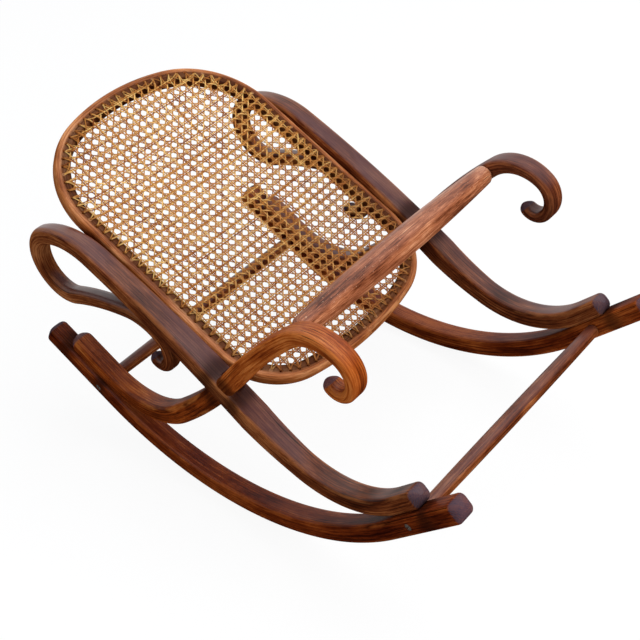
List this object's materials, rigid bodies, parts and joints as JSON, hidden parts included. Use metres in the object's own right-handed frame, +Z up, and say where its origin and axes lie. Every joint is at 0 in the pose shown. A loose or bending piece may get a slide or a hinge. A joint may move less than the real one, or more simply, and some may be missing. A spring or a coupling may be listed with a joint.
{
  "type": "rocking footstool",
  "caption": "Bentwood rocking footstool: scrolled side frames on curved runners, a turned bar between hooked arms, and a sloping caned seat hoop to rest the feet on.",
  "frame": {"origin": "on the floor under the middle of the object's box, with the stool standing at rest on its runners", "axes": "+X towards the hooked front end, +Y to the left side, +Z up"},
  "size_m": [0.728, 0.43, 0.3932],
  "materials": {
    "bentwood": "dark reddish-brown stained beech, satin",
    "turned_wood": "dark stained beech, worn satin",
    "cane": "honey-coloured natural cane",
    "peg_wood": "plain wood",
    "screw_steel": "darkened old steel"
  },
  "bodies": {
    "root": {"left_runner": "bentwood", "right_runner": "bentwood", "left_side_rail": "bentwood", "right_side_rail": "bentwood", "left_cross_leg": "bentwood", "right_cross_leg": "bentwood", "seat_hoop": "bentwood", "foot_bar": "turned_wood", "front_stretcher": "turned_wood", "rear_stretcher": "turned_wood", "cane_panel": "cane", "cane_pegs": "peg_wood", "front_stretcher_screws": "screw_steel", "rear_stretcher_screws": "screw_steel", "front_foot_screws": "screw_steel", "rear_foot_screws": "screw_steel", "crossing_screws": "screw_steel", "hoop_screws": "screw_steel"}
  },
  "joints": []
}
